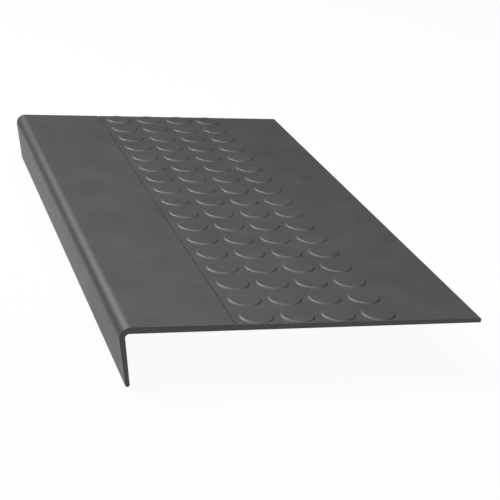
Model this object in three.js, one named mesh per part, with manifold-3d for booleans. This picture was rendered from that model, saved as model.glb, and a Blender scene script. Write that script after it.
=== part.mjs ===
// Anti slip stair tread mat: one rubber moulding that covers the top and the nosing of a step.
// Millimetres, +Z up. X runs from the nose (-X) to the back edge (+X), and Y runs along the step.
// The origin is the middle of the flat underside, the face that lies on the step.
import * as THREE from "three";
import { mergeVertices } from "three/addons/utils/BufferGeometryUtils.js";
import Module from "manifold-3d";

// The whole mat
const length = 610;
const depth = 316;

// The slab, which thins from the nose to the back edge
const slabAtNose = 5.9;
const slabAtBack = 3.7;

// The lip that hangs over the front of the step, thinning to a rounded end and leaning back towards the step
const lipDrop = 47;
const lipAtRoot = 5;
const lipAtEnd = 3.7;
const lipLean = THREE.MathUtils.degToRad(10.3);
const lipEndRound = 1.3;

// The bend between the slab and the lip
const bendOuterRadius = 9.5;
const bendInnerRadius = 3.4;

// The line pressed into the top, between the smooth nosing and the discs
const grooveFromNose = 96;
const grooveWidth = 1.2;
const grooveDepth = 1.2;

// The raised discs, in square rows and columns
const discDiameter = 29.8;
const discHeight = 0.9;
const discBevel = 1.4;
const discPitch = 36.2;
const discsFromGroove = 7.1;
const leastBackBand = 74;
const leastEndMargin = 0.1;

// How far the discs reach into the slab they are moulded with, and how far cutters pass the surface
const discRoot = 0.2;
const cutterOverrun = 2;

// How finely round shapes are divided
const bendSteps = 12;
const discSides = 24;

// Values that follow from the sizes above
const noseX = -depth / 2;
const backX = depth / 2;
const topFall = Math.atan((slabAtNose - slabAtBack) / depth);
const topAt = (x) => slabAtNose - (x - noseX) * Math.tan(topFall);

const wasm = await Module();
wasm.setup();

// A closed three.js geometry as a solid that can be joined and cut.
function solidOf(geometry) {
  const bare = geometry.clone();
  bare.deleteAttribute("normal");
  bare.deleteAttribute("uv");
  const merged = mergeVertices(bare);
  return new wasm.Manifold(
    new wasm.Mesh({
      numProp: 3,
      vertProperties: merged.getAttribute("position").array,
      triVerts: new Uint32Array(merged.index.array),
    }),
  );
}

// A solid back as a three.js geometry.
function geometryOf(solid) {
  const mesh = solid.getMesh();
  const geometry = new THREE.BufferGeometry();
  geometry.setAttribute("position", new THREE.BufferAttribute(mesh.vertProperties, mesh.numProp));
  geometry.setIndex(new THREE.BufferAttribute(mesh.triVerts, 1));
  geometry.computeVertexNormals();
  return geometry;
}

// A straight line in the mat's section, through a point and along a direction.
const line = (point, direction) => ({ point, direction });

// The line through two points.
const lineThrough = (from, to) => line(from, to.clone().sub(from));

// The point where two lines cross.
function crossing(a, b) {
  const between = b.point.clone().sub(a.point);
  const along = between.cross(b.direction) / a.direction.cross(b.direction);
  return a.direction.clone().multiplyScalar(along).add(a.point);
}

// A closed outline with a round of its own radius at each corner that has one.
function roundedShape(corners) {
  const shape = new THREE.Shape();
  corners.forEach(({ at, radius }, i) => {
    const before = corners.at(i - 1).at;
    const after = corners[(i + 1) % corners.length].at;
    const goTo = (p) => (i === 0 && shape.curves.length === 0 ? shape.moveTo(p.x, p.y) : shape.lineTo(p.x, p.y));
    if (!radius) {
      goTo(at);
      return;
    }
    const toBefore = before.clone().sub(at).normalize();
    const toAfter = after.clone().sub(at).normalize();
    const halfAngle = Math.acos(toBefore.dot(toAfter)) / 2;
    const reach = radius / Math.tan(halfAngle);
    const start = toBefore.clone().multiplyScalar(reach).add(at);
    const end = toAfter.clone().multiplyScalar(reach).add(at);
    const inward = toBefore.clone().add(toAfter).normalize();
    const centre = inward.multiplyScalar(radius / Math.sin(halfAngle)).add(at);
    const clockwise = toBefore.cross(toAfter) > 0;
    const angleOf = (p) => Math.atan2(p.y - centre.y, p.x - centre.x);
    goTo(start);
    shape.absarc(centre.x, centre.y, radius, angleOf(start), angleOf(end), clockwise);
  });
  shape.closePath();
  return shape;
}

// The section of the mat, seen along the step: X is across the page and Z is up it.
function sectionShape() {
  const top = line(new THREE.Vector2(noseX, slabAtNose), new THREE.Vector2(Math.cos(topFall), -Math.sin(topFall)));
  const underside = line(new THREE.Vector2(0, 0), new THREE.Vector2(1, 0));

  // The lip's outer face touches the bend, whose foremost point is the nose.
  const downLip = new THREE.Vector2(Math.sin(lipLean), -Math.cos(lipLean));
  const acrossLip = new THREE.Vector2(Math.cos(lipLean), Math.sin(lipLean));
  const bendX = noseX + bendOuterRadius;
  const bendCentre = new THREE.Vector2(bendX, topAt(bendX) - bendOuterRadius / Math.cos(topFall));
  const outerFoot = acrossLip.clone().multiplyScalar(-bendOuterRadius).add(bendCentre);
  const outerFace = line(outerFoot, downLip);

  // The lip's inner face gives the thickness at the height of the underside and at the height of the end.
  const onOuterFace = (z) => crossing(outerFace, line(new THREE.Vector2(0, z), underside.direction));
  const innerAt = (z, thickness) => acrossLip.clone().multiplyScalar(thickness).add(onOuterFace(z));
  const innerFace = lineThrough(innerAt(0, lipAtRoot), innerAt(-lipDrop, lipAtEnd));

  // The lip ends square to its outer face, and the round of its outer corner touches the lowest level.
  const roundZ = -lipDrop + lipEndRound;
  const roundCentre = crossing(
    line(innerAt(roundZ, lipEndRound), downLip),
    line(new THREE.Vector2(0, roundZ), underside.direction),
  );
  const end = line(downLip.clone().multiplyScalar(lipEndRound).add(roundCentre), acrossLip);

  return roundedShape([
    { at: new THREE.Vector2(backX, 0) },
    { at: new THREE.Vector2(backX, slabAtBack) },
    { at: crossing(top, outerFace), radius: bendOuterRadius },
    { at: crossing(outerFace, end), radius: lipEndRound },
    { at: crossing(end, innerFace), radius: lipEndRound },
    { at: crossing(innerFace, underside), radius: bendInnerRadius },
  ]);
}

// The smooth moulding: the section drawn out along the step.
function moulding() {
  const drawn = new THREE.ExtrudeGeometry(sectionShape(), {
    depth: length,
    bevelEnabled: false,
    curveSegments: bendSteps,
  });
  return solidOf(drawn.rotateX(Math.PI / 2).translate(0, length / 2, 0));
}

// The cutter of the straight line behind the smooth nosing.
function grooveCutter() {
  const x = noseX + grooveFromNose;
  const height = grooveDepth + cutterOverrun;
  const cutter = new THREE.BoxGeometry(grooveWidth, length + 2 * cutterOverrun, height);
  return solidOf(cutter.translate(x, 0, topAt(x) - grooveDepth + height / 2));
}

// The bevelled disc continues as the same cone down to its root, so its edge on the slab is a clean circle.
const discRootRadius = discDiameter / 2 + (discRoot * discBevel) / discHeight;

// One raised disc, square to the sloping top, with its middle over x and y.
function disc(x, y) {
  const height = discHeight + discRoot;
  const cone = new THREE.CylinderGeometry(discDiameter / 2 - discBevel, discRootRadius, height, discSides);
  cone.rotateX(Math.PI / 2).translate(0, 0, height / 2 - discRoot);
  return solidOf(cone.rotateY(topFall).translate(x, y, topAt(x)));
}

// The places of the discs: as many whole columns and rows as the smooth bands leave room for.
function discPlaces() {
  const firstX = noseX + grooveFromNose + discsFromGroove + discDiameter / 2;
  const lastX = backX - leastBackBand - discDiameter / 2;
  const columns = Math.floor((lastX - firstX) / discPitch) + 1;
  const endMargin = discRootRadius + leastEndMargin;
  const rows = Math.floor((length - 2 * endMargin) / discPitch) + 1;
  const firstY = (-(rows - 1) * discPitch) / 2;
  const places = [];
  for (let column = 0; column < columns; column++) {
    for (let row = 0; row < rows; row++) {
      places.push([firstX + column * discPitch, firstY + row * discPitch]);
    }
  }
  return places;
}

// The mat in one piece
let mat = moulding().subtract(grooveCutter());
for (const [x, y] of discPlaces()) {
  mat = mat.add(disc(x, y));
}

const rubber = new THREE.MeshStandardMaterial({ color: 0x585958, roughness: 0.65, metalness: 0 });
const treadMat = new THREE.Mesh(geometryOf(mat), rubber);
treadMat.name = "tread_mat";

const model = new THREE.Group();
model.name = "anti_slip_stair_tread_mat";
model.add(treadMat);

export default model;
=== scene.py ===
"""Dresses the stair tread mat: a fine mesh over the CAD solid, its rubber, the studio and the camera."""

from math import cos, pi, radians, sin, tan

import bmesh
import bpy
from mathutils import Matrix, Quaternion, Vector

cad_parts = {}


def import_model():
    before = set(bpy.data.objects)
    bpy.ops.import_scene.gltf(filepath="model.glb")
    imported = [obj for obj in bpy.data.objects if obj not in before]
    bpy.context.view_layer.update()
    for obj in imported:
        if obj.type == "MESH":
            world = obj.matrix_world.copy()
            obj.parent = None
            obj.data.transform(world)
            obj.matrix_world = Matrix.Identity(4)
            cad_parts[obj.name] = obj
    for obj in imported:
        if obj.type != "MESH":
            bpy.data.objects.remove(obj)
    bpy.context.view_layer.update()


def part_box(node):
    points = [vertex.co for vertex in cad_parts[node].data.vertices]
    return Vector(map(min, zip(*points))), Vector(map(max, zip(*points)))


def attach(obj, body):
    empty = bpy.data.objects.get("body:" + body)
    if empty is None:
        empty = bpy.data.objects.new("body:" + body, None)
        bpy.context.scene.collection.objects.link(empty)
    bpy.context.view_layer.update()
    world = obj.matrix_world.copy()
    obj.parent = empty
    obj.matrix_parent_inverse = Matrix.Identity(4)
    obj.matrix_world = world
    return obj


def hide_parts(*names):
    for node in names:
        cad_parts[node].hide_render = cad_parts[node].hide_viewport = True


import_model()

MM = 0.001

# The mat's sizes in millimetres, as in the CAD: X from the nose to the back edge, Y along the step
LENGTH = 610
DEPTH = 316
SLAB_AT_NOSE = 5.9
SLAB_AT_BACK = 3.7
LIP_DROP = 47
LIP_AT_ROOT = 5
LIP_AT_END = 3.7
LIP_LEAN = radians(10.3)
LIP_END_ROUND = 1.3
BEND_OUTER_RADIUS = 9.5
BEND_INNER_RADIUS = 3.4
GROOVE_FROM_NOSE = 96
GROOVE_WIDTH = 1.2
GROOVE_DEPTH = 1.2
DISC_DIAMETER = 29.8
DISC_HEIGHT = 0.9
DISC_PITCH = 36.2
DISCS_FROM_GROOVE = 7.1
COLUMNS = 4
ROWS = 17

# Softened edges, which the CAD leaves sharp
END_ROUND = 0.3
BACK_EDGE_ROUND = 0.5
GROOVE_LIP_ROUND = 0.1
GROOVE_SHOULDER = 1.5
DISC_WALL_DRAFT = 1.4
DISC_FOOT_ROUND = 0.15
DISC_TOP_ROUND = 0.6

# How finely round shapes are divided
BEND_STEPS = 20
SMALL_ROUND_STEPS = 4
FOOT_ROUND_STEPS = 2
DISC_SIDES = 40

# Points this near are joined, in millimetres, and broad faces count this much in the shading, in percent
WELD = 0.002
BROAD_FACE_WEIGHT = 100

# The rubber's colour and gloss
DARK_GREY = (0.04, 0.041, 0.0407, 1)
LIGHT_GREY = (0.049, 0.0494, 0.0487, 1)
SHEEN = 0.82
LEAST_ROUGHNESS = 0.51
MOST_ROUGHNESS = 0.57

# The rubber's noises: for each, its scale per metre, its detail and its roughness
CLOUDS = (22, 4, 0.6)
SPECKS = (900, 2, 0.6)
GRAIN = (2600, 3, 0.7)

# The range that a noise mostly keeps to, and how far clouds and specks move the colour
NOISE_LOW = 0.3
NOISE_HIGH = 0.7
CLOUD_SHARE = 0.7
SPECK_SHARE = 0.3

# The grain's bump: its strength, and its height in millimetres
GRAIN_STRENGTH = 0.25
GRAIN_HEIGHT = 0.05

# The studio: greys and strengths where 1 is white, and the flag card's place and height in millimetres
FLOOR_WHITE = 0.8
FLOOR_GLOW = 0.95
FLOOR_SHADE = 0.038
BACKDROP_WHITE = 1
ROOM_LIGHT = 0.03
CARD_BLACK = 0.01
FLAG_X = -280
FLAG_HEIGHT = 90

# How far the floor and the black room reach, in metres
FLOOR_HALF = 6
ROOM_HALF = 5.5

# The camera, found from the mat's corners and discs in the photograph
CAMERA_AT = Vector((-394.29, -1339.4, 476.87)) * MM
CAMERA_AZIMUTH = radians(18.101)
CAMERA_ELEVATION = radians(20.479)
CAMERA_ROLL = radians(5.574)
FOCAL_PIXELS = 1453
PHOTO_PIXELS = 500
SENSOR = 36

# Places and slopes that follow from the sizes above
NOSE_X = -DEPTH / 2
BACK_X = DEPTH / 2
GROOVE_X = NOSE_X + GROOVE_FROM_NOSE
FALL = (SLAB_AT_NOSE - SLAB_AT_BACK) / DEPTH
DISC_RADIUS = DISC_DIAMETER / 2
FIRST_COLUMN_X = GROOVE_X + DISCS_FROM_GROOVE + DISC_RADIUS
FIRST_ROW_Y = -(ROWS - 1) * DISC_PITCH / 2
FIELD_FROM_X = FIRST_COLUMN_X - DISC_PITCH / 2
FIELD_TO_X = FIELD_FROM_X + COLUMNS * DISC_PITCH
END_Y = LENGTH / 2 - END_ROUND


def top_at(x):
    """Height of the sloping top."""
    return SLAB_AT_NOSE - (x - NOSE_X) * FALL


def on_top(x):
    """The point of the section on the sloping top."""
    return Vector((x, top_at(x)))


def crossing(p, along_p, q, along_q):
    """The point where the line through p and the line through q cross."""
    share = (q - p).cross(along_q) / along_p.cross(along_q)
    return p + along_p * share


def rounded(corners, closed=True):
    """Points of an outline, given (point, radius, steps) at each corner; radius 0 keeps the corner."""
    points = []
    for i, (at, radius, steps) in enumerate(corners):
        inside = closed or 0 < i < len(corners) - 1
        if not radius or not inside:
            points.append(at)
            continue
        to_before = (corners[i - 1][0] - at).normalized()
        to_after = (corners[(i + 1) % len(corners)][0] - at).normalized()
        half_angle = to_before.angle(to_after) / 2
        centre = at + (to_before + to_after).normalized() * (radius / sin(half_angle))
        start = at + to_before * (radius / tan(half_angle)) - centre
        end = at + to_after * (radius / tan(half_angle)) - centre
        turn = start.angle(end)
        for step in range(steps + 1):
            share = step / steps
            arm = start * (sin(turn * (1 - share)) / sin(turn)) + end * (sin(turn * share) / sin(turn))
            points.append(centre + arm)
    return points


def section_outline():
    """The mat's section as a closed loop: back edge, top, groove, bend, lip and underside."""
    down = Vector((sin(LIP_LEAN), -cos(LIP_LEAN)))
    across = Vector((cos(LIP_LEAN), sin(LIP_LEAN)))
    level = Vector((1, 0))
    slope = Vector((1, -FALL))
    bend_x = NOSE_X + BEND_OUTER_RADIUS
    bend_centre = Vector((bend_x, top_at(bend_x) - BEND_OUTER_RADIUS * slope.length))
    outer = bend_centre - across * BEND_OUTER_RADIUS

    def inner_at(z, thickness):
        """The point of the lip's inner face, this far across from the outer face at a height."""
        return crossing(outer, down, Vector((0, z)), level) + across * thickness

    inner = inner_at(0, LIP_AT_ROOT)
    up_inner = inner_at(-LIP_DROP, LIP_AT_END) - inner
    round_z = -LIP_DROP + LIP_END_ROUND
    round_centre = crossing(inner_at(round_z, LIP_END_ROUND), down, Vector((0, round_z)), level)
    end = round_centre + down * LIP_END_ROUND
    top = Vector((NOSE_X, SLAB_AT_NOSE))
    groove_from = GROOVE_X - GROOVE_WIDTH / 2
    groove_to = GROOVE_X + GROOVE_WIDTH / 2
    groove_floor = top_at(GROOVE_X) - GROOVE_DEPTH
    few = SMALL_ROUND_STEPS
    return rounded(
        [
            (Vector((BACK_X, 0)), BACK_EDGE_ROUND, few),
            (Vector((BACK_X, SLAB_AT_BACK)), BACK_EDGE_ROUND, few),
            (on_top(FIELD_TO_X), 0, 0),
            (on_top(FIELD_FROM_X), 0, 0),
            (on_top(GROOVE_X + GROOVE_SHOULDER), 0, 0),
            (on_top(groove_to), GROOVE_LIP_ROUND, few),
            (Vector((groove_to, groove_floor)), GROOVE_LIP_ROUND, few),
            (Vector((groove_from, groove_floor)), GROOVE_LIP_ROUND, few),
            (on_top(groove_from), GROOVE_LIP_ROUND, few),
            (on_top(GROOVE_X - GROOVE_SHOULDER), 0, 0),
            (crossing(top, slope, outer, down), BEND_OUTER_RADIUS, BEND_STEPS),
            (crossing(outer, down, end, across), LIP_END_ROUND, few),
            (crossing(end, across, inner, up_inner), LIP_END_ROUND, few),
            (crossing(inner, up_inner, Vector((0, 0)), level), BEND_INNER_RADIUS, BEND_STEPS),
        ]
    )


def unit_square(side):
    """Where a ray at the given side of a disc meets a square of half width 1."""
    angle = 2 * pi * side / DISC_SIDES
    reach = max(abs(cos(angle)), abs(sin(angle)))
    return cos(angle) / reach, sin(angle) / reach


def square_steps():
    """The places along one side of that square, from -1 to 1."""
    eighth = DISC_SIDES // 8
    return [unit_square(side)[1] for side in range(-eighth, eighth + 1)]


def disc_profile():
    """Radius and height of a raised disc, from its foot to the edge of its flat top."""
    level = Vector((1, 0))
    foot = Vector((DISC_RADIUS, 0))
    brow = Vector((DISC_RADIUS - DISC_WALL_DRAFT, DISC_HEIGHT))
    corners = [
        (foot + level, 0, 0),
        (foot, DISC_FOOT_ROUND, FOOT_ROUND_STEPS),
        (brow, DISC_TOP_ROUND, SMALL_ROUND_STEPS),
        (brow - level, 0, 0),
    ]
    # The first and last points only give the two rounds their directions
    return rounded(corners, closed=False)[1:-1]


def row_edges(row):
    """How far a row's square of mat reaches from the disc's middle towards -Y and +Y."""
    y = FIRST_ROW_Y + row * DISC_PITCH
    low = max(-DISC_PITCH / 2, -END_Y - y)
    high = min(DISC_PITCH / 2, END_Y - y)
    return y, low, high


def add_disc_cell(bm, x, row):
    """One square of the top with its raised disc, as rings of faces round the disc's middle."""
    y, low, high = row_edges(row)
    rings = [[]]
    for side in range(DISC_SIDES):
        sx, sy = unit_square(side)
        px = x + sx * DISC_PITCH / 2
        py = y + (sy * high if sy > 0 else -sy * low)
        rings[0].append(bm.verts.new((px * MM, py * MM, top_at(px) * MM)))
    for radius, height in disc_profile():
        ring = []
        for side in range(DISC_SIDES):
            angle = 2 * pi * side / DISC_SIDES
            px = x + radius * cos(angle)
            py = y + radius * sin(angle)
            ring.append(bm.verts.new((px * MM, py * MM, (top_at(px) + height) * MM)))
        rings.append(ring)
    for outer, inner in zip(rings, rings[1:]):
        for side in range(DISC_SIDES):
            after = (side + 1) % DISC_SIDES
            bm.faces.new((outer[side], outer[after], inner[after], inner[side]))
    bm.faces.new(rings[-1])


def with_field_steps(outline):
    """The outline with points added along the disc field's edge, and the span of faces that they take."""
    field_end = on_top(FIELD_TO_X)
    start = min(range(len(outline)), key=lambda i: (outline[i] - field_end).length)
    between = []
    for column in reversed(range(COLUMNS)):
        x = FIRST_COLUMN_X + column * DISC_PITCH
        for step in reversed(square_steps()[:-1]):
            between.append(on_top(x + step * DISC_PITCH / 2))
    points = outline[: start + 1] + between + outline[start + 2 :]
    return points, range(start, start + len(between))


def outward(points):
    """The outward direction at each point of a closed anticlockwise outline."""
    directions = []
    for i, p in enumerate(points):
        along = (p - points[i - 1]).normalized() + (points[(i + 1) % len(points)] - p).normalized()
        along.normalize()
        directions.append(Vector((along.y, -along.x)))
    return directions


def end_limits(points):
    """How far each point of the section draws in at a rounded end: little on the fine lips of the groove."""
    return [GROOVE_LIP_ROUND / 2 if abs(p.x - GROOVE_X) < GROOVE_WIDTH else END_ROUND for p in points]


def mat_mesh():
    """The whole moulding: swept bands along Y, a square cell for each disc, and rounded ends."""
    points, field = with_field_steps(section_outline())
    directions = outward(points)
    limits = end_limits(points)
    count = len(points)
    bm = bmesh.new()

    def loop(y, share):
        """The section's points at a place along the step, drawn in by a share of their limits."""
        places = [p - d * limit * share for p, d, limit in zip(points, directions, limits)]
        return [bm.verts.new((p.x * MM, y * MM, p.y * MM)) for p in places]

    stations = []
    for row in range(ROWS):
        y, low, high = row_edges(row)
        stations += [y + (step * high if step > 0 else -step * low) for step in square_steps()[:-1]]
    stations.append(END_Y)

    # Bands along the mat, with the disc field left open for the cells
    loops = [loop(y, 0) for y in stations]
    for a, b in zip(loops, loops[1:]):
        for i in range(count):
            if i not in field:
                bm.faces.new((a[i], a[(i + 1) % count], b[(i + 1) % count], b[i]))

    # The two ends, each rounded over and closed
    for side, edge in ((-1, loops[0]), (1, loops[-1])):
        last = edge
        for step in range(1, SMALL_ROUND_STEPS + 1):
            angle = pi / 2 * step / SMALL_ROUND_STEPS
            ring = loop(side * (END_Y + END_ROUND * sin(angle)), 1 - cos(angle))
            for i in range(count):
                bm.faces.new((last[i], last[(i + 1) % count], ring[(i + 1) % count], ring[i]))
            last = ring
        bm.faces.new(last)

    for column in range(COLUMNS):
        for row in range(ROWS):
            add_disc_cell(bm, FIRST_COLUMN_X + column * DISC_PITCH, row)

    bmesh.ops.remove_doubles(bm, verts=bm.verts, dist=WELD * MM)
    bmesh.ops.recalc_face_normals(bm, faces=bm.faces)
    mesh = bpy.data.meshes.new("tread_mat_moulding")
    bm.to_mesh(mesh)
    bm.free()
    return mesh


def rubber():
    """Dark grey moulded rubber: faint cloudy mottling, a fine grain and a broad soft sheen."""
    material = bpy.data.materials.new("rubber")
    material.use_nodes = True
    nodes = material.node_tree.nodes
    links = material.node_tree.links
    shader = nodes["Principled BSDF"]
    shader.inputs["Metallic"].default_value = 0
    shader.inputs["Specular IOR Level"].default_value = SHEEN
    place = nodes.new("ShaderNodeTexCoord").outputs["Object"]

    def noise(scale, detail, roughness):
        """A noise in the mat's own space."""
        node = nodes.new("ShaderNodeTexNoise")
        node.inputs["Scale"].default_value = scale
        node.inputs["Detail"].default_value = detail
        node.inputs["Roughness"].default_value = roughness
        links.new(place, node.inputs["Vector"])
        return node.outputs["Fac"]

    def spread(value, low, high):
        """A noise with its usual range stretched from low to high."""
        node = nodes.new("ShaderNodeMapRange")
        node.inputs["From Min"].default_value = NOISE_LOW
        node.inputs["From Max"].default_value = NOISE_HIGH
        node.inputs["To Min"].default_value = low
        node.inputs["To Max"].default_value = high
        links.new(value, node.inputs["Value"])
        return node.outputs["Result"]

    clouds = noise(*CLOUDS)
    specks = noise(*SPECKS)
    grain = noise(*GRAIN)

    # Colour: clouds a few centimetres across, with finer specks over them
    mixed = nodes.new("ShaderNodeMath")
    mixed.operation = "MULTIPLY_ADD"
    mixed.inputs[1].default_value = SPECK_SHARE
    links.new(spread(specks, 0, 1), mixed.inputs[0])
    links.new(spread(clouds, 0, CLOUD_SHARE), mixed.inputs[2])
    tint = nodes.new("ShaderNodeMix")
    tint.data_type = "RGBA"
    tint.inputs["A"].default_value = DARK_GREY
    tint.inputs["B"].default_value = LIGHT_GREY
    links.new(mixed.outputs["Value"], tint.inputs["Factor"])
    links.new(tint.outputs["Result"], shader.inputs["Base Color"])

    links.new(spread(clouds, LEAST_ROUGHNESS, MOST_ROUGHNESS), shader.inputs["Roughness"])

    bump = nodes.new("ShaderNodeBump")
    bump.inputs["Strength"].default_value = GRAIN_STRENGTH
    bump.inputs["Distance"].default_value = GRAIN_HEIGHT * MM
    links.new(grain, bump.inputs["Height"])
    links.new(bump.outputs["Normal"], shader.inputs["Normal"])
    return material


def dress_mat():
    """The fine moulding in place of the plain CAD solid."""
    mat = bpy.data.objects.new("tread_mat_moulding", mat_mesh())
    bpy.context.collection.objects.link(mat)
    mat.data.materials.append(rubber())
    for face in mat.data.polygons:
        face.use_smooth = True
    weighted = mat.modifiers.new("broad faces stay flat", "WEIGHTED_NORMAL")
    weighted.weight = BROAD_FACE_WEIGHT
    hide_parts("tread_mat")
    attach(mat, "root")


def grey(level):
    """A plain grey, where 1 is white."""
    return (level, level, level, 1)


def seen_or_lit(tree, seen, otherwise):
    """The seen shader for camera, glossy and transmission rays, and the other one for all other light."""
    path = tree.nodes.new("ShaderNodeLightPath")
    looking = path.outputs["Is Camera Ray"]
    for kind in ("Is Glossy Ray", "Is Transmission Ray"):
        either = tree.nodes.new("ShaderNodeMath")
        either.operation = "MAXIMUM"
        tree.links.new(looking, either.inputs[0])
        tree.links.new(path.outputs[kind], either.inputs[1])
        looking = either.outputs["Value"]
    choice = tree.nodes.new("ShaderNodeMixShader")
    tree.links.new(looking, choice.inputs["Fac"])
    tree.links.new(otherwise, choice.inputs[1])
    tree.links.new(seen, choice.inputs[2])
    return choice.outputs["Shader"]


def square(half, z):
    """The corners of a level square round the origin."""
    return [(-half, -half, z), (half, -half, z), (half, half, z), (-half, half, z)]


def studio_piece(name, corners, faces, material_name):
    """A plain mesh of the studio with a material of its own, and that material's nodes."""
    mesh = bpy.data.meshes.new(name)
    mesh.from_pydata(corners, [], faces)
    piece = bpy.data.objects.new(name, mesh)
    bpy.context.collection.objects.link(piece)
    material = bpy.data.materials.new(material_name)
    material.use_nodes = True
    piece.data.materials.append(material)
    return piece, material.node_tree


def floor():
    """A white floor under the lip's end, seen mostly as its own white with a faint shadow."""
    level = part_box("tread_mat")[0].z
    ground, tree = studio_piece("floor", square(FLOOR_HALF, level), [(0, 1, 2, 3)], "floor")
    tree.nodes.remove(tree.nodes["Principled BSDF"])
    plain = tree.nodes.new("ShaderNodeBsdfDiffuse")
    plain.inputs["Color"].default_value = grey(FLOOR_WHITE)
    shade = tree.nodes.new("ShaderNodeBsdfDiffuse")
    shade.inputs["Color"].default_value = grey(FLOOR_SHADE)
    glow = tree.nodes.new("ShaderNodeEmission")
    glow.inputs["Strength"].default_value = FLOOR_GLOW
    both = tree.nodes.new("ShaderNodeAddShader")
    tree.links.new(shade.outputs["BSDF"], both.inputs[0])
    tree.links.new(glow.outputs["Emission"], both.inputs[1])
    surface = seen_or_lit(tree, both.outputs["Shader"], plain.outputs["BSDF"])
    tree.links.new(surface, tree.nodes["Material Output"].inputs["Surface"])


def black_cards():
    """Black cards that only the sheen sees: walls and a roof far off, and a low flag beside the nose."""
    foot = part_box("tread_mat")[0].z
    room = square(ROOM_HALF, foot) + square(ROOM_HALF, foot + ROOM_HALF)
    walls = [(i, (i + 1) % 4, (i + 1) % 4 + 4, i + 4) for i in range(4)]
    roof = (4, 5, 6, 7)
    x = FLAG_X * MM
    top = foot + FLAG_HEIGHT * MM
    flag = [(x, -ROOM_HALF, foot), (x, ROOM_HALF, foot), (x, ROOM_HALF, top), (x, -ROOM_HALF, top)]
    faces = [*walls, roof, (8, 9, 10, 11)]
    cards, tree = studio_piece("black_cards", room + flag, faces, "black card")
    tree.nodes["Principled BSDF"].inputs["Base Color"].default_value = grey(CARD_BLACK)
    cards.visible_camera = False
    cards.visible_diffuse = False
    cards.visible_shadow = False


def world():
    """A white backdrop all round, which lights the mat only as a dim grey room would."""
    sky = bpy.data.worlds.new("studio")
    bpy.context.scene.world = sky
    sky.use_nodes = True
    tree = sky.node_tree
    backdrop = tree.nodes["Background"]
    room = tree.nodes.new("ShaderNodeBackground")
    for shader, strength in ((backdrop, BACKDROP_WHITE), (room, ROOM_LIGHT)):
        shader.inputs["Color"].default_value = grey(1)
        shader.inputs["Strength"].default_value = strength
    surface = seen_or_lit(tree, backdrop.outputs["Background"], room.outputs["Background"])
    tree.links.new(surface, tree.nodes["World Output"].inputs["Surface"])


def softbox(name, azimuth, elevation, distance, size, power):
    """A square lamp that faces the mat, from an azimuth clockwise from +Y and an elevation, in degrees."""
    a = radians(azimuth)
    e = radians(elevation)
    away = Vector((sin(a) * cos(e), cos(a) * cos(e), sin(e)))
    data = bpy.data.lights.new(name, "AREA")
    data.shape = "SQUARE"
    data.size = size
    data.energy = power
    lamp = bpy.data.objects.new(name, data)
    lamp.location = away * distance
    lamp.rotation_mode = "QUATERNION"
    lamp.rotation_quaternion = away.to_track_quat("Z", "Y")
    bpy.context.collection.objects.link(lamp)


def camera():
    """The photograph's camera, with its picture plane turned by the roll."""
    data = bpy.data.cameras.new("camera")
    data.sensor_width = SENSOR
    data.lens = FOCAL_PIXELS / PHOTO_PIXELS * SENSOR
    eye = bpy.data.objects.new("camera", data)
    level = cos(CAMERA_ELEVATION)
    aim = Vector((sin(CAMERA_AZIMUTH) * level, cos(CAMERA_AZIMUTH) * level, -sin(CAMERA_ELEVATION)))
    eye.location = CAMERA_AT
    eye.rotation_mode = "QUATERNION"
    eye.rotation_quaternion = aim.to_track_quat("-Z", "Y") @ Quaternion((0, 0, 1), CAMERA_ROLL)
    bpy.context.collection.objects.link(eye)
    bpy.context.scene.camera = eye


camera()
dress_mat()
floor()
world()
black_cards()
softbox("key", azimuth=-43.7, elevation=46.6, distance=2.38, size=1, power=54)
softbox("fill", azimuth=60, elevation=85.6, distance=1.2, size=0.94, power=11.1)
bpy.context.scene.view_settings.view_transform = "Standard"
